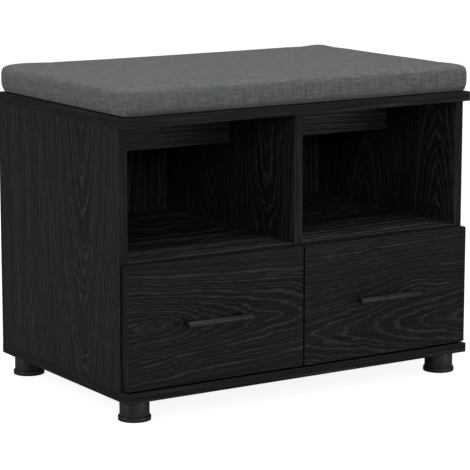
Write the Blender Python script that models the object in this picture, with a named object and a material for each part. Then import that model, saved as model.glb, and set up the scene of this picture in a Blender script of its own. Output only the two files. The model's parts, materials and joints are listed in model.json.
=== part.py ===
"""Entryway bench: a flat-pack cabinet with two open bays over two drawers, and a seat cushion.

Metres, +Z up, +Y towards the back. The origin is on the floor, below the middle of the whole object.
Heights are counted from the floor, and depths from the front edge of the top and bottom boards.
"""

import math

import bmesh
import bpy
from mathutils import Matrix

# Overall sizes
WIDTH = 0.630
DEPTH = 0.400
BODY_HEIGHT = 0.422            # underside of the bottom board to the top of the top board
FOOT_HEIGHT = 0.032
CUSHION_HEIGHT = 0.042

# Boards
BOARD = 0.015                  # thickness of every black board
BACK_BOARD = 0.003             # thin back panel
DRAWER_BAY = 0.178             # clear height of a drawer's opening
RAIL_HEIGHT = 0.065            # rail below the top board, across an open bay
RAIL_SETBACK = 0.200
GAP = 0.0003                   # kept between pieces that touch

# Cushion
CUSHION_INSET = 0.002
CUSHION_ROUND = 0.011

# Feet
FOOT_INSET = 0.031             # foot's centre from the board's edges
FOOT_RADIUS = 0.0225
FOOT_WALL = 0.0025
FOOT_TOP = 0.003
RING_RADIUS = 0.0248
RING_HEIGHT = 0.0065
RING_FLOOR = 0.002
RING_HOLE = 0.008
RING_CHAMFER = 0.0006

# Drawer fronts
FRONT_BOARD = 0.015
FRONT_SETBACK = 0.0015         # face of a drawer front behind the boards' front edge
FRONT_REVEAL = 0.003           # joint line around a drawer front
FRONT_STANDOFF = 0.0017        # drawer front to the side panels behind it

# Drawer boxes
BOX_BOARD = 0.012
BOX_HEIGHT = 0.125
BOX_LIFT = 0.008               # box above the bottom board
BOX_REAR = 0.030               # box to the back panel
BOX_FLOOR = 0.003
GROOVE_DEPTH = 0.005
GROOVE_LIFT = 0.010            # groove above the box's lower edge

# Handles
HANDLE_LENGTH = 0.114
HANDLE_RADIUS = 0.005
HANDLE_STAND = 0.018           # bar's centre line to the drawer front
HANDLE_SHIFT = -0.006          # bar's middle, off the middle of the drawer front
HANDLE_CHAMFER = 0.0008
POST_SPACING = 0.096
POST_RADIUS = 0.0042

# Screws
SCREW_RADIUS = 0.0018
SCREW_HEAD_RADIUS = 0.0038
SCREW_HEAD = 0.0022
SCREW_BITE = 0.010             # length in the piece it holds
SCREW_CLEAR = 0.0003           # hole's wall to the shank

# Drawer runners
RUNNER_SPACE = 0.0125          # cabinet side to drawer side
RUNNER_STEEL = 0.0012
RUNNER_HALF = 0.010            # half the height of the cabinet's channel
RUNNER_FLANGE = 0.0092         # channel's width from the cabinet side
RUNNER_LIFT = 0.006            # channel's centre line above the box's lower edge
RUNNER_LIP = 0.008             # lip below the drawer side
RUNNER_END = 0.002             # runner's front end to the board ahead of it
RUNNER_OVERLAP = 0.0902        # length that stays in the cabinet when a drawer is out
WHEEL_START = 0.0034           # wheel's near face from the cabinet side
WHEEL_WIDTH = 0.005
WHEEL_INSET = 0.012            # wheel's axle from the end of its runner
FRONT_WHEEL_RADIUS = 0.011
WHEEL_PLAY = 0.0003
WHEEL_CHAMFER = 0.0005
PIN_RADIUS = 0.0024
PIN_HEAD_RADIUS = 0.0038
PIN_HEAD = 0.0010

# Fineness of round pieces
FOOT_SEGMENTS = 32
BAR_SEGMENTS = 24
WHEEL_SEGMENTS = 24
SMALL_SEGMENTS = 16

# Worked out from the sizes above
HANDLE_REACH = HANDLE_STAND + HANDLE_RADIUS - FRONT_SETBACK
FRONT_Y = (HANDLE_REACH - DEPTH) / 2
BACK_Y = FRONT_Y + DEPTH
FRONT_FACE_Y = FRONT_Y + FRONT_SETBACK
FRONT_REAR_Y = FRONT_FACE_Y + FRONT_BOARD
PANEL_Y = FRONT_REAR_Y + FRONT_STANDOFF
INNER_BACK_Y = BACK_Y - BACK_BOARD - GAP
BOX_Y = FRONT_REAR_Y + GAP
BOX_END_Y = BACK_Y - BACK_BOARD - BOX_REAR
FLOOR_Z = FOOT_HEIGHT + BOARD
SHELF_Z = FLOOR_Z + DRAWER_BAY
TOP_Z = FOOT_HEIGHT + BODY_HEIGHT
CEILING_Z = TOP_Z - BOARD
FRONT_LOW_Z = FLOOR_Z + FRONT_REVEAL
FRONT_HIGH_Z = SHELF_Z + BOARD - FRONT_REVEAL
HANDLE_Z = (FRONT_LOW_Z + FRONT_HIGH_Z) / 2
BOX_Z = FLOOR_Z + BOX_LIFT
RUNNER_Z = BOX_Z + RUNNER_LIFT
REAR_WHEEL_RADIUS = RUNNER_HALF - RUNNER_STEEL - WHEEL_PLAY
FRONT_AXLE_Y = PANEL_Y + RUNNER_END + WHEEL_INSET
REAR_AXLE_Y = BOX_END_Y - WHEEL_INSET
TRAVEL = BOX_END_Y - BOX_Y - RUNNER_OVERLAP
STOP_Y = REAR_AXLE_Y - TRAVEL - REAR_WHEEL_RADIUS - GAP

# Colour, roughness, metallic
BLACK_OAK = ((0.014, 0.014, 0.015), 0.55, 0.0)
BLACK_METAL = ((0.012, 0.012, 0.013), 0.35, 0.6)
BLACK_PLASTIC = ((0.010, 0.010, 0.011), 0.50, 0.0)
BOX_LAMINATE = ((0.020, 0.020, 0.021), 0.60, 0.0)
STEEL = ((0.50, 0.50, 0.51), 0.30, 1.0)
RUNNER_GREY = ((0.030, 0.030, 0.032), 0.45, 0.3)
NYLON = ((0.62, 0.62, 0.60), 0.45, 0.0)
FABRIC = ((0.130, 0.142, 0.138), 0.95, 0.0)


def finish(obj, look):
    """Give an object a material of its own."""
    colour, roughness, metallic = look
    material = bpy.data.materials.new(obj.name)
    material.use_nodes = True
    shader = material.node_tree.nodes["Principled BSDF"]
    shader.inputs["Base Color"].default_value = (*colour, 1.0)
    shader.inputs["Roughness"].default_value = roughness
    shader.inputs["Metallic"].default_value = metallic
    obj.data.materials.append(material)


def add_object(name, bm, look=None, parent=None, place=(0.0, 0.0, 0.0)):
    """Turn a bmesh into a named object, with its origin at place."""
    bmesh.ops.recalc_face_normals(bm, faces=bm.faces)
    mesh = bpy.data.meshes.new(name)
    bm.to_mesh(mesh)
    bm.free()
    obj = bpy.data.objects.new(name, mesh)
    bpy.context.collection.objects.link(obj)
    if look:
        finish(obj, look)
    if parent:
        obj.parent = parent
    home = parent.location if parent else (0.0, 0.0, 0.0)
    obj.location = [at - start for at, start in zip(place, home)]
    return obj


def board(name, low, high, look, parent=None):
    """A flat board between two corners, with its origin at its middle."""
    middle = [(a + b) / 2 for a, b in zip(low, high)]
    size = [b - a for a, b in zip(low, high)]
    bm = bmesh.new()
    bmesh.ops.create_cube(bm, size=1.0)
    bmesh.ops.scale(bm, vec=size, verts=bm.verts)
    return add_object(name, bm, look, parent, middle)


def turned(profile, segments, closed):
    """Spin (radius, height) points about Z. An open profile starts and ends on the axis."""
    bm = bmesh.new()
    verts = [bm.verts.new((radius, 0.0, height)) for radius, height in profile]
    edges = [bm.edges.new(pair) for pair in zip(verts, verts[1:])]
    if closed:
        edges.append(bm.edges.new((verts[-1], verts[0])))
    bmesh.ops.spin(bm, geom=verts + edges, cent=(0, 0, 0), axis=(0, 0, 1),
                   angle=math.tau, steps=segments, use_merge=True)
    bmesh.ops.remove_doubles(bm, verts=bm.verts, dist=1e-6)
    return bm


def turn_to(bm, axis, sign=1):
    """Point what was turned about Z along X or Y instead, forwards or backwards."""
    if axis == "X":
        turn = Matrix.Rotation(sign * math.pi / 2, 3, "Y")
    else:
        turn = Matrix.Rotation(-sign * math.pi / 2, 3, "X")
    bmesh.ops.rotate(bm, verts=bm.verts, cent=(0, 0, 0), matrix=turn)
    return bm


def smooth(obj):
    """Shade round faces smooth and keep corners sharp."""
    obj.data.shade_smooth()
    obj.data.set_sharp_from_angle(angle=math.radians(40))
    return obj


def boolean(obj, tool, operation):
    """Join a tool to an object, or cut it away. The tool itself is a guide, not a piece."""
    tool.hide_render = True
    tool.display_type = "WIRE"
    modifier = obj.modifiers.new(tool.name, "BOOLEAN")
    modifier.operation = operation
    modifier.object = tool


def rod(name, radius, length, axis, place, parent=None, segments=SMALL_SEGMENTS):
    """A plain round tool centred on place."""
    half = length / 2
    bm = turned([(0, -half), (radius, -half), (radius, half), (0, half)], segments, False)
    if axis != "Z":
        turn_to(bm, axis)
    return add_object(name, bm, None, parent, place)


def screw(name, length, axis, sign, place, parent=None):
    """A pan-head screw. place is the underside of its head, on the side that the shank leaves."""
    profile = [
        (0, -SCREW_HEAD),
        (SCREW_HEAD_RADIUS * 0.7, -SCREW_HEAD),
        (SCREW_HEAD_RADIUS, -SCREW_HEAD * 0.4),
        (SCREW_HEAD_RADIUS, 0),
        (SCREW_RADIUS, 0),
        (SCREW_RADIUS, length - SCREW_RADIUS),
        (0, length),
    ]
    bm = turned(profile, SMALL_SEGMENTS, False)
    if axis != "Z":
        turn_to(bm, axis, sign)
    return smooth(add_object(name, bm, STEEL, parent, place))


def bay_sides():
    """Left and right bay: name, inner left face, inner right face."""
    wall = WIDTH / 2 - BOARD
    return [("left", -wall, -BOARD / 2), ("right", BOARD / 2, wall)]


def make_cabinet():
    """Top and bottom boards, uprights, shelves, rails and the back panel."""
    half = WIDTH / 2
    low_z, high_z = FLOOR_Z + GAP, CEILING_Z - GAP
    board("top_board", (-half, FRONT_Y, CEILING_Z), (half, BACK_Y, TOP_Z), BLACK_OAK)
    bottom = board("bottom_board", (-half, FRONT_Y, FOOT_HEIGHT), (half, BACK_Y, FLOOR_Z), BLACK_OAK)
    for index, (x, y) in enumerate(foot_places()):
        hole = rod(f"foot_hole_{index}", SCREW_RADIUS + SCREW_CLEAR, 2 * (SCREW_BITE + GAP), "Z",
                   (x, y, FOOT_HEIGHT))
        boolean(bottom, hole, "DIFFERENCE")
    board("left_side_panel", (-half, PANEL_Y, low_z), (-half + BOARD, INNER_BACK_Y, high_z), BLACK_OAK)
    board("right_side_panel", (half - BOARD, PANEL_Y, low_z), (half, INNER_BACK_Y, high_z), BLACK_OAK)
    board("centre_divider", (-BOARD / 2, PANEL_Y, low_z), (BOARD / 2, INNER_BACK_Y, high_z), BLACK_OAK)
    board("back_panel", (-half + GAP, BACK_Y - BACK_BOARD, low_z), (half - GAP, BACK_Y, high_z), BLACK_OAK)
    for side, left, right in bay_sides():
        board(f"{side}_shelf", (left + GAP, PANEL_Y, SHELF_Z),
              (right - GAP, INNER_BACK_Y, SHELF_Z + BOARD), BLACK_OAK)
        rail_y = FRONT_Y + RAIL_SETBACK
        board(f"{side}_seat_rail", (left + GAP, rail_y, high_z - RAIL_HEIGHT),
              (right - GAP, rail_y + BOARD, high_z), BLACK_OAK)


def make_cushion():
    """The seat pad, as wide and deep as the top board less a small inset."""
    x, low_y, high_y = WIDTH / 2 - CUSHION_INSET, FRONT_Y + CUSHION_INSET, BACK_Y - CUSHION_INSET
    low_z = TOP_Z + GAP
    cushion = board("seat_cushion", (-x, low_y, low_z), (x, high_y, low_z + CUSHION_HEIGHT), FABRIC)
    bevel = cushion.modifiers.new("soft edges", "BEVEL")
    bevel.width = CUSHION_ROUND
    bevel.segments = 4
    smooth(cushion)


def foot_places():
    """Centres of the four feet."""
    x = WIDTH / 2 - FOOT_INSET
    return [(-x, FRONT_Y + FOOT_INSET), (x, FRONT_Y + FOOT_INSET),
            (-x, BACK_Y - FOOT_INSET), (x, BACK_Y - FOOT_INSET)]


def make_feet():
    """A moulded cup, a ring round its lower end and the screw that holds the cup, at each corner."""
    names = ["front_left", "front_right", "back_left", "back_right"]
    top = FOOT_HEIGHT - GAP
    under = top - FOOT_TOP
    start = RING_FLOOR + GAP
    hole = SCREW_RADIUS + SCREW_CLEAR
    cup = [(hole, top), (hole, under), (FOOT_RADIUS - FOOT_WALL, under), (FOOT_RADIUS - FOOT_WALL, start),
           (FOOT_RADIUS, start), (FOOT_RADIUS, top)]
    bore = FOOT_RADIUS + GAP
    ring = [(RING_HOLE, 0), (RING_RADIUS - RING_CHAMFER, 0), (RING_RADIUS, RING_CHAMFER),
            (RING_RADIUS, RING_HEIGHT - RING_CHAMFER), (RING_RADIUS - RING_CHAMFER, RING_HEIGHT),
            (bore, RING_HEIGHT), (bore, RING_FLOOR), (RING_HOLE, RING_FLOOR)]
    for name, (x, y) in zip(names, foot_places()):
        smooth(add_object(f"{name}_foot", turned(cup, FOOT_SEGMENTS, True), BLACK_PLASTIC, None, (x, y, 0)))
        smooth(add_object(f"{name}_foot_ring", turned(ring, FOOT_SEGMENTS, True), BLACK_PLASTIC, None, (x, y, 0)))
        length = FOOT_TOP + SCREW_BITE
        screw(f"{name}_foot_screw", length, "Z", 1, (x, y, under - GAP))


def runner_section(quads, sign, x, y, z):
    """Draw a runner's end as quads that share edges, in X and Z, at depth y."""
    bm = bmesh.new()
    corners = {}
    faces = []
    for low_x, low_z, high_x, high_z in quads:
        loop = []
        for key in ((low_x, low_z), (high_x, low_z), (high_x, high_z), (low_x, high_z)):
            if key not in corners:
                corners[key] = bm.verts.new((x + sign * key[0], y, z + key[1]))
            loop.append(corners[key])
        faces.append(bm.faces.new(loop))
    return bm, faces


def extrude_to(bm, faces, y):
    """Carry faces on to depth y."""
    grown = bmesh.ops.extrude_face_region(bm, geom=faces)["geom"]
    for part in grown:
        if isinstance(part, bmesh.types.BMVert):
            part.co.y = y


def axle_pin(name, start, reach, sign, place, parent=None):
    """A headed pin along X. It starts inside the runner's web and ends past the wheel."""
    profile = [(0, start), (PIN_RADIUS, start), (PIN_RADIUS, reach), (PIN_HEAD_RADIUS, reach),
               (PIN_HEAD_RADIUS, reach + PIN_HEAD), (0, reach + PIN_HEAD)]
    bm = turn_to(turned(profile, SMALL_SEGMENTS, False), "X", sign)
    return add_object(name, bm, None, parent, place)


def wheel(name, radius, place, parent=None):
    """A nylon wheel on an axle along X, with its origin at its centre."""
    half = WHEEL_WIDTH / 2
    bore = PIN_RADIUS + WHEEL_PLAY
    profile = [(bore, -half), (radius - WHEEL_CHAMFER, -half), (radius, -half + WHEEL_CHAMFER),
               (radius, half - WHEEL_CHAMFER), (radius - WHEEL_CHAMFER, half), (bore, half)]
    bm = turn_to(turned(profile, WHEEL_SEGMENTS, True), "X")
    return smooth(add_object(name, bm, NYLON, parent, place))


def make_cabinet_runner(name, wall, sign):
    """A channel on a cabinet side, with a tab that stops the drawer. Its wheel is at the front."""
    inner = GAP + RUNNER_STEEL
    low, high = RUNNER_HALF - RUNNER_STEEL, RUNNER_HALF
    web = [(GAP, -high, inner, -low), (GAP, -low, inner, low), (GAP, low, inner, high)]
    flanges = [(inner, -high, RUNNER_FLANGE, -low), (inner, low, RUNNER_FLANGE, high)]
    flange_y = FRONT_AXLE_Y + FRONT_WHEEL_RADIUS + RUNNER_END
    bm, faces = runner_section(web + flanges, sign, wall, flange_y, RUNNER_Z)
    extrude_to(bm, faces, BOX_END_Y + RUNNER_END)
    extrude_to(bm, faces[:3], PANEL_Y + RUNNER_END)
    bmesh.ops.delete(bm, geom=faces[:3], context="FACES_ONLY")
    runner = add_object(f"{name}_runner", bm, RUNNER_GREY)
    place = (wall, FRONT_AXLE_Y, RUNNER_Z)
    reach = WHEEL_START + WHEEL_WIDTH + GAP
    pin = axle_pin(f"{name}_pin", GAP + RUNNER_STEEL / 2, reach, sign, place)
    boolean(runner, pin, "UNION")
    sunk = RUNNER_STEEL / 2
    near, far = sorted((wall + sign * (inner - sunk), wall + sign * RUNNER_FLANGE))
    tab = board(f"{name}_stop", (near, STOP_Y - RUNNER_STEEL, RUNNER_Z - low - sunk),
                (far, STOP_Y, RUNNER_Z + low + sunk), RUNNER_GREY)
    boolean(runner, tab, "UNION")
    middle = wall + sign * (WHEEL_START + WHEEL_WIDTH / 2)
    wheel(f"{name}_wheel", FRONT_WHEEL_RADIUS, (middle, FRONT_AXLE_Y, RUNNER_Z))


def make_drawer_runner(name, wall, sign, parent):
    """A rail below a drawer side, which rolls on the cabinet's wheel. Its own wheel is at the rear."""
    outer = RUNNER_SPACE - GAP
    inner = outer - RUNNER_STEEL
    tread = FRONT_WHEEL_RADIUS + WHEEL_PLAY
    top = tread + RUNNER_STEEL
    under = -RUNNER_LIFT - GAP
    lip = under - RUNNER_STEEL
    web = [(inner, lip, outer, under), (inner, under, outer, tread), (inner, tread, outer, top)]
    edges = [(outer, lip, outer + RUNNER_LIP, under), (WHEEL_START, tread, inner, top)]
    bm, faces = runner_section(web + edges, sign, wall, BOX_Y + RUNNER_END, RUNNER_Z)
    extrude_to(bm, faces, BOX_END_Y)
    bmesh.ops.translate(bm, vec=-parent.location, verts=bm.verts)
    rail = add_object(f"{name}_runner", bm, RUNNER_GREY, parent, parent.location)
    reach = outer - RUNNER_STEEL / 2 - WHEEL_START + GAP
    place = (wall + sign * (outer - RUNNER_STEEL / 2), REAR_AXLE_Y, RUNNER_Z)
    pin = axle_pin(f"{name}_pin", 0, reach, -sign, place, parent)
    boolean(rail, pin, "UNION")
    middle = wall + sign * (WHEEL_START + WHEEL_WIDTH / 2)
    wheel(f"{name}_wheel", REAR_WHEEL_RADIUS, (middle, REAR_AXLE_Y, RUNNER_Z), parent)


def make_box_side(name, low, high, inner_sign, parent):
    """A drawer side, with the groove for the drawer's floor in its inner face."""
    side = board(name, low, high, BOX_LAMINATE, parent)
    inner_x = high[0] if inner_sign > 0 else low[0]
    bm = bmesh.new()
    bmesh.ops.create_cube(bm, size=1.0)
    length = high[1] - low[1] + 4 * GAP
    bmesh.ops.scale(bm, vec=(2 * GROOVE_DEPTH, length, BOX_FLOOR + 2 * GAP), verts=bm.verts)
    place = (inner_x, (low[1] + high[1]) / 2, BOX_Z + GROOVE_LIFT + BOX_FLOOR / 2)
    groove = add_object(f"{name}_groove", bm, None, parent, place)
    boolean(side, groove, "DIFFERENCE")


def make_drawer_front(name, low_x, high_x, box_low, box_high, posts, parent):
    """The front board, with the groove for the floor and the holes for the handle's screws."""
    front = board(f"{name}_front", (low_x, FRONT_FACE_Y, FRONT_LOW_Z),
                  (high_x, FRONT_REAR_Y, FRONT_HIGH_Z), BLACK_OAK, parent)
    bm = bmesh.new()
    bmesh.ops.create_cube(bm, size=1.0)
    width = box_high - box_low - 2 * (BOX_BOARD - GROOVE_DEPTH)
    bmesh.ops.scale(bm, vec=(width, 2 * GROOVE_DEPTH, BOX_FLOOR + 2 * GAP), verts=bm.verts)
    place = ((box_low + box_high) / 2, FRONT_REAR_Y, BOX_Z + GROOVE_LIFT + BOX_FLOOR / 2)
    boolean(front, add_object(f"{name}_front_groove", bm, None, parent, place), "DIFFERENCE")
    for end, x in posts:
        hole = rod(f"{name}_front_hole_{end}", SCREW_RADIUS + SCREW_CLEAR, 2 * FRONT_BOARD, "Y",
                   (x, (FRONT_FACE_Y + FRONT_REAR_Y) / 2, HANDLE_Z), parent)
        boolean(front, hole, "DIFFERENCE")


def make_handle(name, x, posts, parent):
    """A round bar on two posts, with a blind hole in each post for its screw."""
    half = HANDLE_LENGTH / 2
    bar = [(0, -half), (HANDLE_RADIUS - HANDLE_CHAMFER, -half), (HANDLE_RADIUS, -half + HANDLE_CHAMFER),
           (HANDLE_RADIUS, half - HANDLE_CHAMFER), (HANDLE_RADIUS - HANDLE_CHAMFER, half), (0, half)]
    bar_y = FRONT_FACE_Y - HANDLE_STAND
    bm = turn_to(turned(bar, BAR_SEGMENTS, False), "X")
    handle = add_object(f"{name}_handle", bm, BLACK_METAL, parent, (x, bar_y, HANDLE_Z))
    foot_y = FRONT_FACE_Y - GAP
    for end, post_x in posts:
        post = rod(f"{name}_post_{end}", POST_RADIUS, foot_y - bar_y, "Y",
                   (post_x, (bar_y + foot_y) / 2, HANDLE_Z), parent)
        boolean(handle, post, "UNION")
    for end, post_x in posts:
        hole = rod(f"{name}_post_hole_{end}", SCREW_RADIUS + SCREW_CLEAR, 2 * (SCREW_BITE + GAP), "Y",
                   (post_x, foot_y, HANDLE_Z), parent)
        boolean(handle, hole, "DIFFERENCE")
        screw(f"{name}_handle_screw_{end}", FRONT_BOARD + SCREW_BITE, "Y", -1,
              (post_x, FRONT_REAR_Y + GAP, HANDLE_Z), parent)
    smooth(handle)


def make_drawer(side, left, right, front_low, front_high):
    """A drawer: front, box, floor, handle and the drawer's halves of its two runners."""
    name = f"{side}_drawer"
    slide = bpy.data.objects.new(f"{name}_slide", None)
    slide.location = ((left + right) / 2, FRONT_FACE_Y, RUNNER_Z)
    bpy.context.collection.objects.link(slide)
    box_low, box_high = left + RUNNER_SPACE, right - RUNNER_SPACE
    middle = (front_low + front_high) / 2 + HANDLE_SHIFT
    posts = [("left", middle - POST_SPACING / 2), ("right", middle + POST_SPACING / 2)]
    make_drawer_front(name, front_low, front_high, box_low, box_high, posts, slide)
    make_handle(name, middle, posts, slide)
    top = BOX_Z + BOX_HEIGHT
    make_box_side(f"{name}_left_side", (box_low, BOX_Y, BOX_Z),
                  (box_low + BOX_BOARD, BOX_END_Y, top), 1, slide)
    make_box_side(f"{name}_right_side", (box_high - BOX_BOARD, BOX_Y, BOX_Z),
                  (box_high, BOX_END_Y, top), -1, slide)
    floor_z = BOX_Z + GROOVE_LIFT
    tongue = BOX_BOARD - GROOVE_DEPTH + GAP
    board(f"{name}_bottom", (box_low + tongue, FRONT_REAR_Y - GROOVE_DEPTH + GAP, floor_z),
          (box_high - tongue, BOX_END_Y, floor_z + BOX_FLOOR), BOX_LAMINATE, slide)
    inset = BOX_BOARD + GAP
    board(f"{name}_back", (box_low + inset, BOX_END_Y - BOX_BOARD, floor_z + BOX_FLOOR + GAP),
          (box_high - inset, BOX_END_Y, top), BOX_LAMINATE, slide)
    for end, wall, sign in (("left", left, 1), ("right", right, -1)):
        make_cabinet_runner(f"{side}_bay_{end}", wall, sign)
        make_drawer_runner(f"{name}_{end}", wall, sign, slide)


def main():
    for obj in list(bpy.data.objects):
        bpy.data.objects.remove(obj)
    make_cabinet()
    make_cushion()
    make_feet()
    outer = WIDTH / 2 - FRONT_REVEAL
    inner = FRONT_REVEAL / 2
    spans = [(-outer, -inner), (inner, outer)]
    for (side, left, right), (front_low, front_high) in zip(bay_sides(), spans):
        make_drawer(side, left, right, front_low, front_high)


main()
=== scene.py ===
import json
import math

import bmesh
import bpy
from mathutils import Matrix, Vector


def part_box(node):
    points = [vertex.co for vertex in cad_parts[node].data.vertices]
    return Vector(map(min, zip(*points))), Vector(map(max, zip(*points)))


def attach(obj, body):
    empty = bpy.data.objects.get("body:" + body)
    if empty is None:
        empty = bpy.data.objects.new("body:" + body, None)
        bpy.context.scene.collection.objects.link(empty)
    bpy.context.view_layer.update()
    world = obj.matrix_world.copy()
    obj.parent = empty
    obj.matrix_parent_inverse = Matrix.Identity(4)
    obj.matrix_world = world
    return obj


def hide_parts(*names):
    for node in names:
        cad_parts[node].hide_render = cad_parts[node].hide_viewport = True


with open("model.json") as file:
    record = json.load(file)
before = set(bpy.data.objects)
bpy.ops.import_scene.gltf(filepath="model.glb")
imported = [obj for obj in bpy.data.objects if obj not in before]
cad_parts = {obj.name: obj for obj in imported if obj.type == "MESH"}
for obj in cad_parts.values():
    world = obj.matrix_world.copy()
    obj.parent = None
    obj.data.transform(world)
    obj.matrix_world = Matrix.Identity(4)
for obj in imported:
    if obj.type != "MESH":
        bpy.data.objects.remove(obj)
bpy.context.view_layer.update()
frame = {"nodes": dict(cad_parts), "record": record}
scene = bpy.context.scene
print("frame loaded with", len(frame["nodes"]), "pieces")


# Camera, lamps and floor

studio = {
    "eye": (-1.90, -2.96, 0.872),  # metres
    "turn": 32.62,                 # degrees to the right of straight ahead
    "drop": 10.42,                 # degrees below level
    "lens": 171.95,
    "sensor": 36,
    "lampAim": (0, 0, 0.25),       # every lamp looks at the middle of the bench
    "backdrop": 1.0,               # brightness the camera sees behind the bench
    "roomLight": 0.30,             # light that the room itself gives
    "floorSize": 14.0,
    "floorTone": 0.45,
    "floorLift": 0.90,             # keeps the floor as pale as the backdrop
    "floorRoughness": 0.9,
    "floorSpecular": 0.1,
}

lamps = {
    "overheadSoftbox": {"at": (0.1, -0.4, 2.2), "width": 1.6, "height": 1.6, "power": 24.0},
    "leftSoftbox": {"at": (-2.4, 0.1, 0.9), "width": 1.0, "height": 1.8, "power": 14.5},
    "frontSoftbox": {"at": (1.3, -2.9, 0.22), "width": 1.5, "height": 0.3, "power": 12.5},
    "fillSoftbox": {"at": (-1.6, -2.9, 1.50), "width": 0.9, "height": 0.9, "power": 20.0},
}


def makeCamera():
    data = bpy.data.cameras.new("camera")
    data.lens = studio["lens"]
    data.sensor_width = studio["sensor"]
    camera = bpy.data.objects.new("camera", data)
    scene.collection.objects.link(camera)
    camera.location = studio["eye"]
    camera.rotation_euler = (math.radians(90 - studio["drop"]), 0, -math.radians(studio["turn"]))
    scene.camera = camera


def makeLamps():
    for name, look in lamps.items():
        data = bpy.data.lights.new(name, "AREA")
        data.shape = "RECTANGLE"
        data.size = look["width"]
        data.size_y = look["height"]
        data.energy = look["power"]
        lamp = bpy.data.objects.new(name, data)
        scene.collection.objects.link(lamp)
        lamp.location = look["at"]
        lamp.rotation_mode = "QUATERNION"
        aim = Vector(studio["lampAim"]) - lamp.location
        lamp.rotation_quaternion = aim.to_track_quat("-Z", "Y")


def makeRoom():
    world = bpy.data.worlds.new("studio")
    world.use_nodes = True
    scene.world = world
    tree = world.node_tree
    seen = tree.nodes["Background"]
    seen.inputs["Strength"].default_value = studio["backdrop"]
    seen.inputs["Color"].default_value = (1, 1, 1, 1)
    light = tree.nodes.new("ShaderNodeBackground")
    light.inputs["Strength"].default_value = studio["roomLight"]
    light.inputs["Color"].default_value = (1, 1, 1, 1)
    either = tree.nodes.new("ShaderNodeMixShader")
    path = tree.nodes.new("ShaderNodeLightPath")
    tree.links.new(path.outputs["Is Camera Ray"], either.inputs[0])
    tree.links.new(light.outputs[0], either.inputs[1])
    tree.links.new(seen.outputs[0], either.inputs[2])
    tree.links.new(either.outputs[0], tree.nodes["World Output"].inputs[0])


def makeFloor():
    bm = bmesh.new()
    bmesh.ops.create_grid(bm, x_segments=1, y_segments=1, size=studio["floorSize"] / 2)
    mesh = bpy.data.meshes.new("floor")
    bm.to_mesh(mesh)
    bm.free()
    floor = bpy.data.objects.new("floor", mesh)
    scene.collection.objects.link(floor)
    material = bpy.data.materials.new("palePaper")
    material.use_nodes = True
    tree = material.node_tree
    shader = tree.nodes["Principled BSDF"]
    tone = studio["floorTone"]
    shader.inputs["Base Color"].default_value = (tone, tone, tone, 1)
    shader.inputs["Roughness"].default_value = studio["floorRoughness"]
    shader.inputs["Specular IOR Level"].default_value = studio["floorSpecular"]
    shader.inputs["Emission Color"].default_value = (1, 1, 1, 1)
    path = tree.nodes.new("ShaderNodeLightPath")
    lift = tree.nodes.new("ShaderNodeMath")
    lift.operation = "MULTIPLY"
    lift.inputs[1].default_value = studio["floorLift"]
    tree.links.new(path.outputs["Is Camera Ray"], lift.inputs[0])
    tree.links.new(lift.outputs[0], shader.inputs["Emission Strength"])
    floor.data.materials.append(material)


scene.view_settings.view_transform = "Standard"
makeCamera()
makeLamps()
makeRoom()
makeFloor()
print("camera, lamps and floor are in place")


# Ways of building pieces

def newPiece(name, bm, body, material, stands=(), angle=30):
    mesh = bpy.data.meshes.new(name)
    bm.to_mesh(mesh)
    bm.free()
    piece = bpy.data.objects.new(name, mesh)
    scene.collection.objects.link(piece)
    mesh.shade_smooth()
    mesh.set_sharp_from_angle(angle=math.radians(angle))
    mesh.materials.append(material)
    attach(piece, body)
    if stands:
        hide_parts(*stands)
    return piece


def boxBetween(low, high):
    bm = bmesh.new()
    bmesh.ops.create_cube(bm, size=1.0)
    bmesh.ops.scale(bm, vec=high - low, verts=bm.verts)
    bmesh.ops.translate(bm, vec=(low + high) / 2, verts=bm.verts)
    return bm


def copyOfNode(node, near=0.000005, flat=1):
    # loose triangles are merged, and flat faces made whole
    bm = bmesh.new()
    bm.from_mesh(frame["nodes"][node].data)
    bmesh.ops.remove_doubles(bm, verts=bm.verts, dist=near)
    bmesh.ops.dissolve_limit(bm, angle_limit=math.radians(flat), verts=bm.verts, edges=bm.edges)
    return bm


def softenEdges(bm, edges, width, steps, clamp=True):
    # rounds the edges, and notes the rounded faces so that a finish can paint a highlight on them
    highlightLayer = bm.faces.layers.float.get("paintedEdgeHighlight") or bm.faces.layers.float.new("paintedEdgeHighlight")
    made = bmesh.ops.bevel(bm, geom=edges, offset=width, offset_type="OFFSET", affect="EDGES",
                           segments=steps, profile=0.5, material=-1, clamp_overlap=clamp)
    for face in made["faces"]:
        face[highlightLayer] = 1.0


def sharpEdges(bm, angle=60):
    limit = math.radians(angle)
    return [edge for edge in bm.edges if edge.is_manifold and edge.calc_face_angle() > limit]


def outerEdges(bm, low, high, near=0.00001):
    # edges that lie along the twelve edges of the board's own box
    def sides(vert):
        return {(axis, end) for axis in range(3) for end, limit in enumerate((low, high))
                if abs(vert.co[axis] - limit[axis]) < near}
    return [edge for edge in bm.edges if len(sides(edge.verts[0]) & sides(edge.verts[1])) == 2]


def spun(profile, segments, closed=False, near=0.000001):
    # turns a profile of radius and height round the Z axis
    bm = bmesh.new()
    points = [bm.verts.new((radius, 0, height)) for radius, height in profile]
    edges = [bm.edges.new(pair) for pair in zip(points, points[1:])]
    if closed:
        edges.append(bm.edges.new((points[-1], points[0])))
    bmesh.ops.spin(bm, geom=points + edges, cent=(0, 0, 0), axis=(0, 0, 1),
                   angle=math.tau, steps=segments, use_merge=True)
    bmesh.ops.remove_doubles(bm, verts=bm.verts, dist=near)
    bmesh.ops.recalc_face_normals(bm, faces=bm.faces)
    return bm


def stand(bm, direction, place):
    # turns what was spun about Z to another direction, and puts it in its place
    turn = Vector((0, 0, 1)).rotation_difference(Vector(direction)).to_matrix()
    bmesh.ops.rotate(bm, verts=bm.verts, cent=(0, 0, 0), matrix=turn)
    bmesh.ops.translate(bm, vec=place, verts=bm.verts)
    return bm


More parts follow.
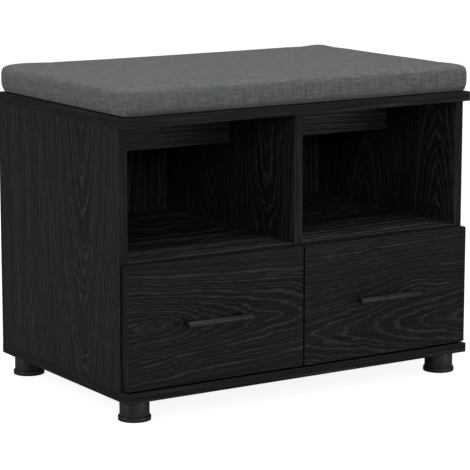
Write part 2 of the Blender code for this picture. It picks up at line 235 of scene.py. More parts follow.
def applyModifiers(piece):
    depsgraph = bpy.context.evaluated_depsgraph_get()
    mesh = bpy.data.meshes.new_from_object(piece.evaluated_get(depsgraph), depsgraph=depsgraph)
    old = piece.data
    piece.modifiers.clear()
    piece.data = mesh
    bpy.data.meshes.remove(old)


def combine(piece, bm, operation):
    # joins a second solid to the piece, or cuts it away
    mesh = bpy.data.meshes.new("tool")
    bm.to_mesh(mesh)
    bm.free()
    tool = bpy.data.objects.new("tool", mesh)
    scene.collection.objects.link(tool)
    change = piece.modifiers.new("tool", "BOOLEAN")
    change.operation = operation
    change.object = tool
    applyModifiers(piece)
    bpy.data.objects.remove(tool)


# Ways of building finishes

def setOrLink(tree, socket, value):
    if isinstance(value, bpy.types.NodeSocket):
        tree.links.new(value, socket)
    else:
        socket.default_value = value


def calc(tree, operation, *values):
    node = tree.nodes.new("ShaderNodeMath")
    node.operation = operation
    for socket, value in zip(node.inputs, values):
        setOrLink(tree, socket, value)
    return node.outputs[0]


def noiseOf(tree, vector, stretch, seed, detail):
    scaled = tree.nodes.new("ShaderNodeVectorMath")
    scaled.operation = "MULTIPLY"
    tree.links.new(vector, scaled.inputs[0])
    scaled.inputs[1].default_value = stretch
    node = tree.nodes.new("ShaderNodeTexNoise")
    node.noise_dimensions = "4D"
    tree.links.new(scaled.outputs[0], node.inputs["Vector"])
    setOrLink(tree, node.inputs["W"], seed)
    node.inputs["Scale"].default_value = 1.0
    node.inputs["Detail"].default_value = detail
    return node.outputs[0]


def ease(tree, value, low, high, start=0.0, end=1.0):
    node = tree.nodes.new("ShaderNodeMapRange")
    node.interpolation_type = "SMOOTHSTEP"
    for label, number in (("From Min", low), ("From Max", high), ("To Min", start), ("To Max", end)):
        setOrLink(tree, node.inputs[label], number)
    tree.links.new(value, node.inputs["Value"])
    return node.outputs[0]


def mixColour(tree, amount, first, second):
    node = tree.nodes.new("ShaderNodeMix")
    node.data_type = "RGBA"
    setOrLink(tree, node.inputs["Factor"], amount)
    setOrLink(tree, node.inputs[6], first)
    setOrLink(tree, node.inputs[7], second)
    return node.outputs[2]


def newGroup(name, inputs, outputs):
    tree = bpy.data.node_groups.new(name, "ShaderNodeTree")
    for label, kind, value in inputs:
        socket = tree.interface.new_socket(label, in_out="INPUT", socket_type="NodeSocket" + kind)
        if value is not None:
            socket.default_value = value
    for label, kind in outputs:
        tree.interface.new_socket(label, in_out="OUTPUT", socket_type="NodeSocket" + kind)
    entry = tree.nodes.new("NodeGroupInput").outputs
    leave = tree.nodes.new("NodeGroupOutput").inputs
    return tree, entry, leave


def useGroup(tree, group, values):
    node = tree.nodes.new("ShaderNodeGroup")
    node.node_tree = group
    for label, value in values.items():
        setOrLink(tree, node.inputs[label], value)
    return node.outputs


def newFinish(name, roughness, specular, metallic=0.0):
    material = bpy.data.materials.new(name)
    material.use_nodes = True
    shader = material.node_tree.nodes["Principled BSDF"]
    shader.inputs["Roughness"].default_value = roughness
    shader.inputs["Specular IOR Level"].default_value = specular
    shader.inputs["Metallic"].default_value = metallic
    return material, material.node_tree, shader


def bumpInto(tree, shader, height, depth):
    bump = tree.nodes.new("ShaderNodeBump")
    bump.inputs["Distance"].default_value = depth
    bump.inputs["Strength"].default_value = 1.0
    tree.links.new(height, bump.inputs["Height"])
    tree.links.new(bump.outputs[0], shader.inputs["Normal"])


def objectPlace(tree):
    return tree.nodes.new("ShaderNodeTexCoord").outputs["Object"]


def noted(tree, name):
    node = tree.nodes.new("ShaderNodeAttribute")
    node.attribute_name = name
    return node.outputs["Fac"]


def makeCloudyFinish(name, look):
    # two close colours in soft clouds, which also vary the gloss, and a fine relief
    low, high = look["roughness"]
    material, tree, shader = newFinish(name, low, look["specular"], look.get("metallic", 0.0))
    place = objectPlace(tree)
    cloud = noiseOf(tree, place, *look["cloud"])
    colour = mixColour(tree, ease(tree, cloud, *look["cloudEdges"]), look["colour"], look["second"])
    tree.links.new(colour, shader.inputs["Base Color"])
    tree.links.new(calc(tree, "MULTIPLY_ADD", cloud, high - low, low), shader.inputs["Roughness"])
    grain = noiseOf(tree, place, *look["grain"]) if "grain" in look else cloud
    bumpInto(tree, shader, grain, look["relief"])
    return material


# Black oak laminate: rings cut by the face of the board, with pores along the grain

oakLook = {
    "ground": (0.0086, 0.0086, 0.0089, 1),
    "line": (0.0480, 0.0480, 0.0492, 1),
    "streak": (0.0200, 0.0200, 0.0206, 1),
    # edge: the lighter colour of the rounded edges, a painted highlight
    "edge": (0.0200, 0.0200, 0.0206, 1),
    "edgeHighlightShare": 0.6,                     # how far the rounded edges go to the edge colour, a painted highlight
    "roughness": (0.50, 0.62),         # between the lines, on the lines
    "specular": 0.08,
    "relief": 0.00022,
    "streakRelief": 0.35,
    "edgeWidth": 0.0007,
    "edgeSteps": 3,
    "edgeBand": 0.7,                   # faces that turn further from the broad sides are edges
    # a noise has its cycles per metre along, across and into the board, its seed and its detail
    "sway": ((3.2, 9.0, 9.0), 0.0, 2.0),       # rings drift sideways
    "heave": ((6.0, 15.0, 15.0), 7.0, 2.0),    # and rise and fall
    "heaveShare": 1.4,
    "melt": 0.015,                     # width of the join of two sets of rings, in metres
    "wobble": ((26.0, 110.0, 110.0), 3.0, 3.0),
    "wobbleRings": 1.1,
    "crowding": 0.45,                  # rings stand closer in some years than in others
    "crowdingRings": 2.2,
    "feather": ((20.0, 420.0, 420.0), 37.0, 2.0),
    "featherRings": 0.55,
    "lineStart": (0.0, 0.07),          # in parts of a ring
    "lineEnd": (0.10, 0.42),
    "pores": ((40.0, 650.0, 650.0), 11.0, 2.0),
    "poreEdges": (0.34, 0.62),
    "poreDepth": 0.75,
    "streaks": ((11.0, 330.0, 330.0), 19.0, 3.0),
    "streakEdges": (0.35, 0.72),
    "strip": ((9.0, 9.0, 340.0), 43.0, 2.0),   # straight lines of a board's edge band
    "stripLines": (0.50, 0.72),
    "stripLineDepth": 0.35,
    "stripStreaks": (0.35, 0.68),
    "tone": ((2.5, 9.0, 9.0), 29.0, 2.0),      # where streaks are stronger
    "toneEdges": (0.30, 0.75),
    "toneLeast": 0.35,
}


def makeOakFigure():
    tree, entry, leave = newGroup(
        "oakFigure",
        [("Vector", "Vector", None), ("Seed", "Float", 0.0), ("Ring Gap", "Float", 0.005),
         ("Centre Across", "Float", 0.0), ("Centre Depth", "Float", 0.05), ("Tilt", "Float", 0.1),
         ("Second Across", "Float", 1.0), ("Second Depth", "Float", 0.05), ("Wander", "Float", 0.02),
         ("Point", "Float", 0.0), ("Knot Along", "Float", 0.0), ("Knot Across", "Float", 0.0),
         ("Knot Lift", "Float", 0.0), ("Knot Length", "Float", 0.05), ("Knot Width", "Float", 0.02),
         ("Band", "Float", 0.0), ("Grain", "Float", 1.0)],
        [("Lines", "Float"), ("Streaks", "Float"), ("Tone", "Float")])
    vector, seed = entry["Vector"], entry["Seed"]
    split = tree.nodes.new("ShaderNodeSeparateXYZ")
    tree.links.new(vector, split.inputs[0])
    along, across, depth = split.outputs

    def noise(name, place=vector):
        stretch, ownSeed, detail = oakLook[name]
        return noiseOf(tree, place, stretch, calc(tree, "ADD", seed, ownSeed), detail)

    sway = calc(tree, "SUBTRACT", noise("sway"), 0.5)
    heave = calc(tree, "SUBTRACT", noise("heave"), 0.5)
    rise = calc(tree, "MULTIPLY", heave, calc(tree, "MULTIPLY", entry["Wander"], oakLook["heaveShare"]))
    slope = calc(tree, "MULTIPLY_ADD", along, entry["Tilt"], depth)

    def rings(centre, deep):
        side = calc(tree, "SUBTRACT", across, centre)
        side = calc(tree, "MULTIPLY_ADD", sway, entry["Wander"], side)
        down = calc(tree, "ADD", calc(tree, "ADD", slope, deep), rise)
        squares = calc(tree, "MULTIPLY_ADD", side, side, calc(tree, "MULTIPLY", down, down))
        return calc(tree, "MULTIPLY_ADD", calc(tree, "ABSOLUTE", side), entry["Point"],
                    calc(tree, "SQRT", squares))

    radius = calc(tree, "SMOOTH_MIN", rings(entry["Centre Across"], entry["Centre Depth"]),
                  rings(entry["Second Across"], entry["Second Depth"]), oakLook["melt"])
    knotX = calc(tree, "DIVIDE", calc(tree, "SUBTRACT", along, entry["Knot Along"]), entry["Knot Length"])
    knotY = calc(tree, "DIVIDE", calc(tree, "SUBTRACT", across, entry["Knot Across"]), entry["Knot Width"])
    knotR = calc(tree, "MULTIPLY_ADD", knotX, knotX, calc(tree, "MULTIPLY", knotY, knotY))
    swell = calc(tree, "EXPONENT", calc(tree, "MULTIPLY", knotR, -1.0))
    radius = calc(tree, "MULTIPLY_ADD", swell, entry["Knot Lift"], radius)

    # the count of rings out from the heart, made uneven, and the line at the start of each
    count = calc(tree, "DIVIDE", radius, entry["Ring Gap"])
    count = calc(tree, "MULTIPLY_ADD", noise("wobble"), oakLook["wobbleRings"], count)
    crowding = tree.nodes.new("ShaderNodeTexNoise")
    crowding.noise_dimensions = "1D"
    crowding.inputs["Scale"].default_value = oakLook["crowding"]
    crowding.inputs["Detail"].default_value = 1.0
    tree.links.new(calc(tree, "ADD", count, seed), crowding.inputs["W"])
    count = calc(tree, "MULTIPLY_ADD", crowding.outputs[0], oakLook["crowdingRings"], count)
    count = calc(tree, "MULTIPLY_ADD", noise("feather"), oakLook["featherRings"], count)
    part = calc(tree, "FRACT", count)
    band = calc(tree, "MULTIPLY", ease(tree, part, *oakLook["lineStart"]),
                ease(tree, part, *oakLook["lineEnd"], 1.0, 0.0))
    dashes = ease(tree, noise("pores"), *oakLook["poreEdges"])
    poreDepth = oakLook["poreDepth"]
    lines = calc(tree, "MULTIPLY", band, calc(tree, "MULTIPLY_ADD", dashes, poreDepth, 1.0 - poreDepth))
    coarser = tree.nodes.new("ShaderNodeVectorMath")
    coarser.operation = "SCALE"
    tree.links.new(vector, coarser.inputs[0])
    tree.links.new(entry["Grain"], coarser.inputs["Scale"])
    streaks = ease(tree, noise("streaks", coarser.outputs[0]), *oakLook["streakEdges"])

    # a board's edges carry straight strips, not rings
    strip = noise("strip")
    stripLines = calc(tree, "MULTIPLY", ease(tree, strip, *oakLook["stripLines"]), oakLook["stripLineDepth"])
    stripStreaks = ease(tree, strip, *oakLook["stripStreaks"])
    face = calc(tree, "SUBTRACT", 1.0, entry["Band"])
    lines = calc(tree, "MULTIPLY_ADD", stripLines, entry["Band"], calc(tree, "MULTIPLY", lines, face))
    streaks = calc(tree, "MULTIPLY_ADD", stripStreaks, entry["Band"], calc(tree, "MULTIPLY", streaks, face))
    tree.links.new(lines, leave["Lines"])
    tree.links.new(streaks, leave["Streaks"])
    tree.links.new(noise("tone"), leave["Tone"])
    return tree


oakFigure = makeOakFigure()

axes = {"X": Vector((1, 0, 0)), "Y": Vector((0, 1, 0)), "Z": Vector((0, 0, 1))}


def makeOak(name, node, along, across, seed, lift=1.0, **figure):
    # each board has its own cut: the pattern is turned and centred on the board
    material, tree, shader = newFinish(name, oakLook["roughness"][0], oakLook["specular"])
    low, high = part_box(node)
    turn = Matrix((axes[along], axes[across], axes[along].cross(axes[across])))
    mapping = tree.nodes.new("ShaderNodeMapping")
    mapping.inputs["Rotation"].default_value = turn.to_euler("XYZ")
    mapping.inputs["Location"].default_value = -(turn @ ((low + high) / 2))
    tree.links.new(objectPlace(tree), mapping.inputs["Vector"])
    band = noted(tree, "edgeBand")
    values = {"Vector": mapping.outputs[0], "Seed": seed, "Band": band}
    values.update({label.replace("_", " ").title(): value for label, value in figure.items()})
    lines, streaks, tone = useGroup(tree, oakFigure, values)
    strength = ease(tree, tone, *oakLook["toneEdges"], oakLook["toneLeast"], 1.0)
    softTone = calc(tree, "MULTIPLY", streaks, strength)
    colour = mixColour(tree, softTone, oakLook["ground"], oakLook["streak"])
    colour = mixColour(tree, lines, colour, oakLook["line"])
    # painted highlight: the rounded edges are drawn lighter, towards the edge colour
    edge = calc(tree, "MULTIPLY", noted(tree, "paintedEdgeHighlight"), oakLook["edgeHighlightShare"])
    colour = mixColour(tree, edge, colour, oakLook["edge"])
    # painted light and shade: the faces, not the edge bands, are scaled by lift, lighter for boards in and
    # beside the bays, darker for the drawer fronts
    paintedLightColour = tree.nodes.new("ShaderNodeVectorMath")
    paintedLightColour.operation = "SCALE"
    tree.links.new(colour, paintedLightColour.inputs[0])
    tree.links.new(calc(tree, "MULTIPLY_ADD", band, 1.0 - lift, lift), paintedLightColour.inputs["Scale"])
    tree.links.new(paintedLightColour.outputs[0], shader.inputs["Base Color"])
    low, high = oakLook["roughness"]
    tree.links.new(calc(tree, "MULTIPLY_ADD", lines, high - low, low), shader.inputs["Roughness"])
    bumpInto(tree, shader, calc(tree, "MULTIPLY_ADD", streaks, oakLook["streakRelief"], lines),
             oakLook["relief"])
    return material


# centre: the heart of the rings, in metres from the board's middle, and tilt is its slope
# second: another heart; wander and point: how far the rings stray, and how sharp their arches are
# lift: painted light and shade, how much lighter the board's faces are drawn, above one for the boards in and
# beside the bays, below one for the drawer fronts; grain: below one, the fine streaks are wider
boards = {
    "top_board": ("cabinet", dict(along="X", across="Y", seed=2.0, centre_across=0.03, tilt=0.05)),
    "bottom_board": ("cabinet", dict(along="X", across="Y", seed=5.3, centre_across=-0.04, tilt=0.06,
                                     ring_gap=0.0045)),
    "left_side_panel": ("cabinet", dict(along="Z", across="Y", seed=8.1, centre_across=-0.078, tilt=-0.11,
                                        centre_depth=0.075, ring_gap=0.0042, wander=0.012, point=0.10,
                                        grain=0.55, lift=1.05)),
    "right_side_panel": ("cabinet", dict(along="Z", across="Y", seed=11.7, centre_across=-0.140, tilt=0.16,
                                         centre_depth=0.030, second_across=0.055, second_depth=0.05,
                                         ring_gap=0.0060, wander=0.015, point=0.15, lift=1.2, grain=0.6)),
    "centre_divider": ("cabinet", dict(along="Z", across="Y", seed=14.2, centre_across=-0.115, tilt=-0.10,
                                       centre_depth=0.05, second_across=0.050, second_depth=0.06,
                                       ring_gap=0.0068, wander=0.018, point=0.15, lift=1.3, grain=0.6,
                                       knot_along=0.085, knot_across=0.050, knot_lift=-0.020,
                                       knot_length=0.060, knot_width=0.032)),
    "back_panel": ("cabinet", dict(along="Z", across="X", seed=17.9, centre_across=0.05, tilt=0.08,
                                   second_across=-0.22, ring_gap=0.0080, wander=0.03, lift=1.9,
                                   grain=0.6)),
    "left_shelf": ("cabinet", dict(along="X", across="Y", seed=20.4, centre_across=0.0, ring_gap=0.014,
                                   tilt=0.05, wander=0.035, lift=1.9, grain=0.7)),
    "right_shelf": ("cabinet", dict(along="X", across="Y", seed=23.8, centre_across=0.02, ring_gap=0.014,
                                    tilt=0.05, wander=0.035, lift=2.4, grain=0.7)),
    "left_seat_rail": ("cabinet", dict(along="X", across="Z", seed=26.5, centre_across=-0.15,
                                       ring_gap=0.0045, wander=0.01, lift=2.5)),
    "right_seat_rail": ("cabinet", dict(along="X", across="Z", seed=29.1, centre_across=-0.17,
                                        ring_gap=0.0045, wander=0.01, lift=2.5)),
    "left_drawer_front": ("left_drawer", dict(along="X", across="Z", seed=32.6, centre_across=-0.003,
                                              centre_depth=0.040, tilt=0.10, ring_gap=0.0040,
                                              wander=0.016, knot_along=-0.105, knot_across=0.0,
                                              knot_lift=-0.010, knot_length=0.055, knot_width=0.020,
                                              lift=0.88)),
    "right_drawer_front": ("right_drawer", dict(along="X", across="Z", seed=35.2, centre_across=-0.050,
                                                centre_depth=0.045, tilt=-0.09, ring_gap=0.0041,
                                                wander=0.012, knot_along=0.045, knot_across=0.020,
                                                knot_lift=-0.010, knot_length=0.060, knot_width=0.026,
                                                lift=0.88)),
}


def makeBoards():
    for node, (body, figure) in boards.items():
        low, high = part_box(node)
        plain = len(frame["nodes"][node].data.polygons) == 12
        bm = boxBetween(low, high) if plain else copyOfNode(node)
        softenEdges(bm, outerEdges(bm, low, high), oakLook["edgeWidth"], oakLook["edgeSteps"])
        bm.normal_update()
        thin = min(range(3), key=lambda axis: high[axis] - low[axis])
        band = bm.faces.layers.float.new("edgeBand")
        for face in bm.faces:
            face[band] = float(abs(face.normal[thin]) < oakLook["edgeBand"])
        material = makeOak(node + "_oak", node, **figure)
        piece = newPiece(node + "_laminate", bm, body, material, [node])
        even = piece.modifiers.new("even shading", "WEIGHTED_NORMAL")
        even.keep_sharp = True
    print("boards are laminated:", len(boards))


makeBoards()


# Drawer boxes: plain black laminate, kept as they are in the frame

boxLook = {
    "ground": (0.0120, 0.0120, 0.0126, 1),
    "fleck": (0.0210, 0.0210, 0.0218, 1),
    "roughness": (0.55, 0.65),         # between the flecks, on the flecks
    "specular": 0.25,
    "relief": 0.00008,
    "lengthwise": ((420.0, 14.0, 420.0), 4.0, 3.0),    # cycles per metre, seed, detail
    "crosswise": ((14.0, 420.0, 420.0), 4.0, 3.0),
    "fleckEdges": (0.35, 0.70),
}


def makeBoxLaminate(way):
    low, high = boxLook["roughness"]
    material, tree, shader = newFinish("box_laminate_" + way, low, boxLook["specular"])
    flecks = ease(tree, noiseOf(tree, objectPlace(tree), *boxLook[way]), *boxLook["fleckEdges"])
    colour = mixColour(tree, flecks, boxLook["ground"], boxLook["fleck"])
    tree.links.new(colour, shader.inputs["Base Color"])
    tree.links.new(calc(tree, "MULTIPLY_ADD", flecks, high - low, low), shader.inputs["Roughness"])
    bumpInto(tree, shader, flecks, boxLook["relief"])
    return material


def dress(node, material):
    # a CAD piece keeps its mesh and takes the finish
    node.data.materials.clear()
    node.data.materials.append(material)


def finishBoxes():
    lengthwise = makeBoxLaminate("lengthwise")
    crosswise = makeBoxLaminate("crosswise")
    for side in ("left", "right"):
        for part, material in (("left_side", lengthwise), ("right_side", lengthwise),
                               ("back", crosswise), ("bottom", lengthwise)):
            dress(frame["nodes"][f"{side}_drawer_{part}"], material)
    print("drawer boxes are finished")


finishBoxes()


# Handles: a round bar on two posts

handleLook = {
    "colour": (0.0080, 0.0080, 0.0084, 1),
    "second": (0.0160, 0.0160, 0.0168, 1),
    "roughness": (0.28, 0.38),     # where the clouds are faint, where they are strong
    "specular": 0.36,
    "cloud": ((60.0, 60.0, 60.0), 5.0, 2.0),       # cycles per metre, seed, detail
    "cloudEdges": (0.3, 0.7),
    "grain": ((900.0, 900.0, 900.0), 2.0, 1.0),
    "relief": 0.000004,
    "segments": 48,
    "edge": 0.0008,
    "edgeSteps": 4,
    "postSpacing": 0.096,
    "postRadius": 0.0042,
    "postSegments": 32,
    "boreRadius": 0.0021,
    "boreDepth": 0.0105,
    "sharpAbove": 40,       # degrees
}


def makeHandles():
    coat = makeCloudyFinish("blackPowderCoat", handleLook)
    wide, bore, deep = handleLook["postRadius"], handleLook["boreRadius"], handleLook["boreDepth"]
    for side in ("left", "right"):
        node = f"{side}_drawer_handle"
        low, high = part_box(node)
        radius = (high.z - low.z) / 2
        middle = Vector(((low.x + high.x) / 2, low.y + radius, (low.z + high.z) / 2))
        half = (high.x - low.x) / 2
        bm = spun([(0, -half), (radius, -half), (radius, half), (0, half)], handleLook["segments"])
        softenEdges(bm, sharpEdges(bm), handleLook["edge"], handleLook["edgeSteps"])
        stand(bm, (1, 0, 0), middle)
        bar = newPiece(f"{side}_drawer_bar_handle", bm, f"{side}_drawer", coat, [node])
        reach = high.y - middle.y
        for end in (-1, 1):
            post = spun([(0, 0), (wide, 0), (wide, reach), (bore, reach), (bore, reach - deep),
                         (0, reach - deep)], handleLook["postSegments"])
            stand(post, (0, 1, 0), middle + Vector((end * handleLook["postSpacing"] / 2, 0, 0)))
            combine(bar, post, "UNION")
        bar.data.shade_smooth()
        bar.data.set_sharp_from_angle(angle=math.radians(handleLook["sharpAbove"]))
    print("handles are made")


makeHandles()


# Feet: a moulded cup with a wider ring at the floor

footLook = {
    "colour": (0.0105, 0.0105, 0.0110, 1),
    "second": (0.0150, 0.0150, 0.0156, 1),
    "roughness": (0.36, 0.48),
    "specular": 0.45,
    "cloud": ((90.0, 90.0, 25.0), 6.0, 3.0),
    "cloudEdges": (0.3, 0.7),
    "grain": ((2200.0, 2200.0, 2200.0), 3.0, 2.0),
    "relief": 0.00003,
    "segments": 96,
    "edge": 0.0005,
    "edgeSteps": 3,
    "wall": 0.0025,
    "top": 0.0030,
    "screwHole": 0.0021,
    "ringFloor": 0.0020,
    "ringHole": 0.0080,
    "ringGap": 0.0003,      # between the cup and the ring round it
}

corners = ["front_left", "front_right", "back_left", "back_right"]


def makeFeet():
    plastic = makeCloudyFinish("blackMouldedPlastic", footLook)
    look = footLook
    for corner in corners:
        low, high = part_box(f"{corner}_foot")
        centre = Vector(((low.x + high.x) / 2, (low.y + high.y) / 2, 0))
        radius = (high.x - low.x) / 2
        cup = spun([(look["screwHole"], high.z), (look["screwHole"], high.z - look["top"]),
                    (radius - look["wall"], high.z - look["top"]), (radius - look["wall"], low.z),
                    (radius, low.z), (radius, high.z)], look["segments"], True)
        softenEdges(cup, sharpEdges(cup), look["edge"], look["edgeSteps"])
        stand(cup, (0, 0, 1), centre)
        newPiece(f"{corner}_foot_cup", cup, "cabinet", plastic, [f"{corner}_foot"])
        low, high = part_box(f"{corner}_foot_ring")
        bore = radius + look["ringGap"]
        wide = (high.x - low.x) / 2
        ring = spun([(look["ringHole"], low.z), (wide, low.z), (wide, high.z), (bore, high.z),
                     (bore, look["ringFloor"]), (look["ringHole"], look["ringFloor"])],
                    look["segments"], True)
        softenEdges(ring, sharpEdges(ring), look["edge"], look["edgeSteps"])
        stand(ring, (0, 0, 1), centre)
        newPiece(f"{corner}_foot_base_ring", ring, "cabinet", plastic,
                 [f"{corner}_foot_ring"])
    print("feet are made:", len(corners))


makeFeet()


# Screws: pan heads with a cross recess

screwLook = {
    "colour": (0.46, 0.46, 0.47, 1),
    "second": (0.34, 0.34, 0.33, 1),
    "roughness": (0.20, 0.40),
    "specular": 0.5,
    "metallic": 1.0,
    "cloud": ((700.0, 700.0, 700.0), 8.0, 3.0),
    "cloudEdges": (0.4, 0.7),
    "relief": 0.00002,
    "segments": 32,
    "head": 0.0022,
    "dome": [(0.45, 0.06), (0.8, 0.28), (1.0, 0.65), (1.0, 1.0)],  # parts of the head's radius and height
    "shank": 0.0018,
    "slotLength": 0.0040,
    "slotWidth": 0.0008,
    "slotDepth": 0.0013,
    "sharpAbove": 35,       # degrees
}


def makeScrew(node, body, direction, zinc):
    # direction runs from the head to the point
    low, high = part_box(node)
    way = Vector(direction)
    length = abs((high - low).dot(way))
    top = (low + high) / 2 - way * length / 2
    wide = max((high - low)[axis] for axis in range(3) if abs(way[axis]) < 0.5) / 2
    head, shank = screwLook["head"], screwLook["shank"]
    dome = [(wide * out, head * down) for out, down in screwLook["dome"]]
    bm = spun([(0, 0), *dome, (shank, head), (shank, length - shank), (0, length)], screwLook["segments"])
    stand(bm, direction, top)
    screw = newPiece(node + "_pan_head", bm, body, zinc, [node])
    slotSize = Vector((screwLook["slotLength"] / 2, screwLook["slotWidth"] / 2, screwLook["slotDepth"]))
    for turned in (0, math.pi / 2):
        slot = boxBetween(-slotSize, slotSize)
        bmesh.ops.rotate(slot, verts=slot.verts, cent=(0, 0, 0), matrix=Matrix.Rotation(turned, 3, "Z"))
        stand(slot, direction, top)
        combine(screw, slot, "DIFFERENCE")
    screw.data.set_sharp_from_angle(angle=math.radians(screwLook["sharpAbove"]))


def makeScrews():
    zinc = makeCloudyFinish("zincPlate", screwLook)
    for corner in corners:
        makeScrew(f"{corner}_foot_screw", "cabinet", (0, 0, 1), zinc)
    for side in ("left", "right"):
        for end in ("left", "right"):
            makeScrew(f"{side}_drawer_handle_screw_{end}", f"{side}_drawer", (0, -1, 0), zinc)
    print("screws are made")


makeScrews()


# Runners and their wheels

runnerLook = {
    "colour": (0.030, 0.030, 0.032, 1),
    "second": (0.060, 0.060, 0.062, 1),
    "roughness": (0.34, 0.50),
    "specular": 0.4,
    "metallic": 0.2,
    "cloud": ((40.0, 12.0, 300.0), 9.0, 3.0),
    "cloudEdges": (0.55, 0.8),
    "grain": ((1300.0, 1300.0, 1300.0), 1.0, 1.0),
    "relief": 0.00003,
}

wheelLook = {
    "colour": (0.62, 0.62, 0.60, 1),
    "second": (0.52, 0.52, 0.49, 1),
    "roughness": (0.35, 0.49),
    "specular": 0.5,
    "cloud": ((260.0, 260.0, 260.0), 12.0, 3.0),
    "cloudEdges": (0.3, 0.75),
    "relief": 0.00003,
    "segments": 64,
    "edge": 0.0003,
    "edgeSteps": 2,
    "hub": 0.0042,
    "rim": 0.0018,
    "dish": 0.0008,
    "bore": 0.0027,
}


def finishRunners():
    steel = makeCloudyFinish("epoxySteel", runnerLook)
    for name, node in frame["nodes"].items():
        if name.endswith("_runner"):
            dress(node, steel)
    print("runners are finished")


def makeWheels():
    nylon = makeCloudyFinish("naturalNylon", wheelLook)
    look = wheelLook
    for body, nodes in frame["record"]["behaviour"]["bodies"].items():
        if not body.endswith("_wheel"):
            continue
        node = nodes[0]
        low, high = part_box(node)
        radius, half = (high.z - low.z) / 2, (high.x - low.x) / 2
        rim = radius - look["rim"]
        face = [(look["bore"], half), (look["hub"], half), (look["hub"] + look["dish"], half - look["dish"]),
                (rim - look["dish"], half - look["dish"]), (rim, half), (radius, half)]
        back = [(across, -up) for across, up in reversed(face)]
        bm = spun(face + back, look["segments"], True)
        softenEdges(bm, sharpEdges(bm), look["edge"], look["edgeSteps"])
        stand(bm, (1, 0, 0), (low + high) / 2)
        newPiece(node + "_roller", bm, body, nylon, [node])
    print("wheels are made")


finishRunners()
makeWheels()


# Seat cushion: a foam pad in linen, swollen by cloth simulation

cushionLook = {
    "outset": 0.0056,
    "cornerRounding": 0.0150,
    "cornerSteps": 6,
    "topRounding": 0.0100,
    "footRounding": 0.0110,
    "rimSteps": 5,
    "voxel": 0.0056,
    "softening": 2,         # rounds of smoothing
    "underside": 0.0020,    # what lies lower than this keeps its place
    "pressure": 8.0,
    "frames": 20,
    "swell": 0.0045,        # furthest that any point may move
    "fill": 0.9,
    "dark": (0.060, 0.066, 0.0645, 1),
    "middle": (0.118, 0.128, 0.125, 1),
    "light": (0.185, 0.200, 0.195, 1),
    "darkShare": 0.72,
    "lightShare": 0.95,
    "roughness": 0.92,
    "specular": 0.2,
    "sheen": 0.10,
    "sheenRoughness": 0.6,
    "relief": 0.00035,
    "thread": 0.0009,
    "threadRelief": 0.5,           # how far a light slub stands out, in threads
    "slub": ((36.0, 360.0), 3.0, 2.0),     # cycles per metre along and across a thread, seed, detail
    "slubLight": (0.50, 0.68),
    "slubDark": (0.49, 0.32),
    "slubDarkShare": 0.8,
    "fine": ((120.0, 1500.0), 13.0, 1.0),
    "fineLight": (0.30, 0.62, 0.35, 1.0),
    "fineDark": (0.47, 0.33, 0.0, 0.6),
    "mottle": ((35.0, 35.0, 35.0), 21.0, 3.0),
    "mottleLight": (0.35, 0.8, 0.0, 0.16),
}


def makeLinenWeave():
    tree, entry, leave = newGroup(
        "linenWeave",
        [("Vector", "Vector", None), ("Thread", "Float", 0.001)],
        [("Light", "Float"), ("Dark", "Float"), ("Height", "Float")])
    vector = entry["Vector"]
    scaled = tree.nodes.new("ShaderNodeVectorMath")
    scaled.operation = "SCALE"
    tree.links.new(vector, scaled.inputs[0])
    tree.links.new(calc(tree, "DIVIDE", 1.0, entry["Thread"]), scaled.inputs["Scale"])
    split = tree.nodes.new("ShaderNodeSeparateXYZ")
    tree.links.new(scaled.outputs[0], split.inputs[0])
    threads = []
    for own, other, sign in ((0, 1, 1.0), (1, 0, -1.0)):
        part = calc(tree, "FRACT", split.outputs[own])
        index = calc(tree, "FLOOR", split.outputs[own])
        dome = calc(tree, "SINE", calc(tree, "MULTIPLY", part, math.pi))
        phase = calc(tree, "ADD", calc(tree, "SUBTRACT", split.outputs[other], 0.5), index)
        wave = calc(tree, "COSINE", calc(tree, "MULTIPLY", phase, math.pi))
        lift = calc(tree, "MULTIPLY_ADD", wave, 0.5 * sign, 0.5)
        threads.append(calc(tree, "MULTIPLY", dome, lift))
    weave = calc(tree, "MAXIMUM", *threads)

    def crossed(name):
        # one noise stretched along the threads of each direction
        (along, across), seed, detail = cushionLook[name]
        return (noiseOf(tree, vector, (along, across, 1.0), seed, detail),
                noiseOf(tree, vector, (across, along, 1.0), seed + 5.0, detail))

    slubs = crossed("slub")
    fineAlong, fineAcross = crossed("fine")
    light = calc(tree, "MAXIMUM", *(ease(tree, slub, *cushionLook["slubLight"]) for slub in slubs))
    dark = calc(tree, "MAXIMUM", *(ease(tree, slub, *cushionLook["slubDark"]) for slub in slubs))
    fine = calc(tree, "MULTIPLY_ADD", fineAlong, 0.5, calc(tree, "MULTIPLY", fineAcross, 0.5))
    light = calc(tree, "MULTIPLY", light, ease(tree, fine, *cushionLook["fineLight"]))
    dark = calc(tree, "MULTIPLY", dark, cushionLook["slubDarkShare"])
    dark = calc(tree, "MAXIMUM", dark, ease(tree, fine, *cushionLook["fineDark"]))
    height = calc(tree, "MULTIPLY_ADD", light, cushionLook["threadRelief"], weave)
    tree.links.new(light, leave["Light"])
    tree.links.new(dark, leave["Dark"])
    tree.links.new(height, leave["Height"])
    return tree


def makeLinen():
    look = cushionLook
    material, tree, shader = newFinish("greyLinen", look["roughness"], look["specular"])
    shader.inputs["Sheen Weight"].default_value = look["sheen"]
    shader.inputs["Sheen Roughness"].default_value = look["sheenRoughness"]
    cloth = tree.nodes.new("ShaderNodeUVMap")
    cloth.uv_map = "cloth"
    light, dark, height = useGroup(tree, makeLinenWeave(), {"Vector": cloth.outputs[0],
                                                            "Thread": look["thread"]})
    mottle = noiseOf(tree, objectPlace(tree), *look["mottle"])
    colour = mixColour(tree, calc(tree, "MULTIPLY", light, look["lightShare"]), look["middle"], look["light"])
    colour = mixColour(tree, calc(tree, "MULTIPLY", dark, look["darkShare"]), colour, look["dark"])
    colour = mixColour(tree, ease(tree, mottle, *look["mottleLight"]), colour, look["light"])
    tree.links.new(colour, shader.inputs["Base Color"])
    bumpInto(tree, shader, height, look["relief"])
    return material


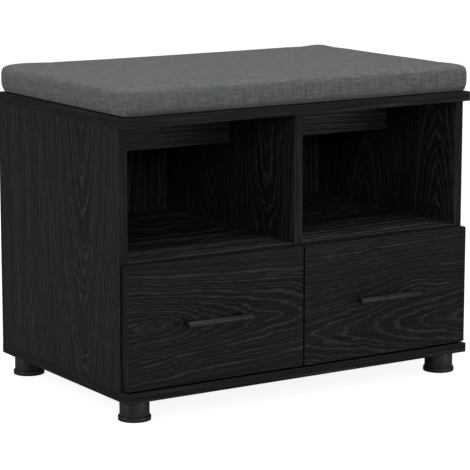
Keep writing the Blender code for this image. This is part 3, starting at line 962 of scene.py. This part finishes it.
def easeShoulders(cushion, floorZ):
    # all but the underside is evened out
    bm = bmesh.new()
    bm.from_mesh(cushion.data)
    upper = [vert for vert in bm.verts if vert.co.z > floorZ + cushionLook["underside"]]
    for turn in range(cushionLook["softening"]):
        bmesh.ops.smooth_vert(bm, verts=upper, factor=0.5, use_axis_x=True, use_axis_y=True, use_axis_z=True)
    bm.to_mesh(cushion.data)
    bm.free()


def fillCushion(cushion, floorZ):
    # the cover is blown up from the inside, and the underside stays where it rests
    start = [vert.co.copy() for vert in cushion.data.vertices]
    limit = floorZ + cushionLook["underside"]
    rest = cushion.vertex_groups.new(name="resting")
    rest.add([i for i, place in enumerate(start) if place.z < limit], 1.0, "REPLACE")
    cloth = cushion.modifiers.new("filling", "CLOTH")
    cloth.settings.use_pressure = True
    cloth.settings.uniform_pressure_force = cushionLook["pressure"]
    cloth.settings.vertex_group_mass = rest.name
    cloth.settings.effector_weights.gravity = 0
    cloth.point_cache.frame_end = cushionLook["frames"]
    for frameNumber in range(1, cushionLook["frames"] + 1):
        scene.frame_set(frameNumber)
    depsgraph = bpy.context.evaluated_depsgraph_get()
    swollen = [vert.co.copy() for vert in cushion.evaluated_get(depsgraph).data.vertices]
    scene.frame_set(1)
    cushion.modifiers.clear()
    cushion.vertex_groups.clear()
    for vert, before, after in zip(cushion.data.vertices, start, swollen):
        move = after - before
        if move.length > cushionLook["swell"]:
            move.length = cushionLook["swell"]
        vert.co = before + move


def layCloth(cushion, low, high):
    # threads run with the edges of each side, and carry on from the top down the sides
    mesh = cushion.data
    cloth = mesh.uv_layers.new(name="cloth")
    for face in mesh.polygons:
        across, deep, up = (abs(part) for part in face.normal)
        for loop in face.loop_indices:
            x, y, z = mesh.vertices[mesh.loops[loop].vertex_index].co
            down = high.z - z
            if up < max(across, deep):
                if deep >= across:
                    y = low.y - down if face.normal.y < 0 else high.y + down
                else:
                    x = low.x - down if face.normal.x < 0 else high.x + down
            cloth.data[loop].uv = (x, y)


def rimEdges(bm, height, near=0.0001):
    # the sharp edges that lie all round at one height
    return [edge for edge in sharpEdges(bm) if all(abs(vert.co.z - height) < near for vert in edge.verts)]


def makeCushion():
    look = cushionLook
    low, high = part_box("seat_cushion")
    outset = Vector((look["outset"], look["outset"], 0))
    bm = boxBetween(low - outset, high + outset)
    upright = [edge for edge in bm.edges if abs(edge.verts[0].co.z - edge.verts[1].co.z) > 0.01]
    softenEdges(bm, upright, look["cornerRounding"], look["cornerSteps"], False)
    softenEdges(bm, rimEdges(bm, low.z), look["footRounding"], look["rimSteps"], False)
    softenEdges(bm, rimEdges(bm, high.z), look["topRounding"], look["rimSteps"], False)
    cushion = newPiece("linen_seat_cushion", bm, "cabinet", makeLinen(), ["seat_cushion"])
    even = cushion.modifiers.new("even mesh", "REMESH")
    even.mode = "VOXEL"
    even.voxel_size = look["voxel"]
    applyModifiers(cushion)
    easeShoulders(cushion, low.z)
    fillCushion(cushion, low.z)
    finer = cushion.modifiers.new("finer", "SUBSURF")
    finer.levels = finer.render_levels = 1
    applyModifiers(cushion)
    cushion.data.shade_smooth()
    layCloth(cushion, low, high)
    print("cushion is filled:", len(cushion.data.polygons), "faces")


makeCushion()


print("the bench is built")
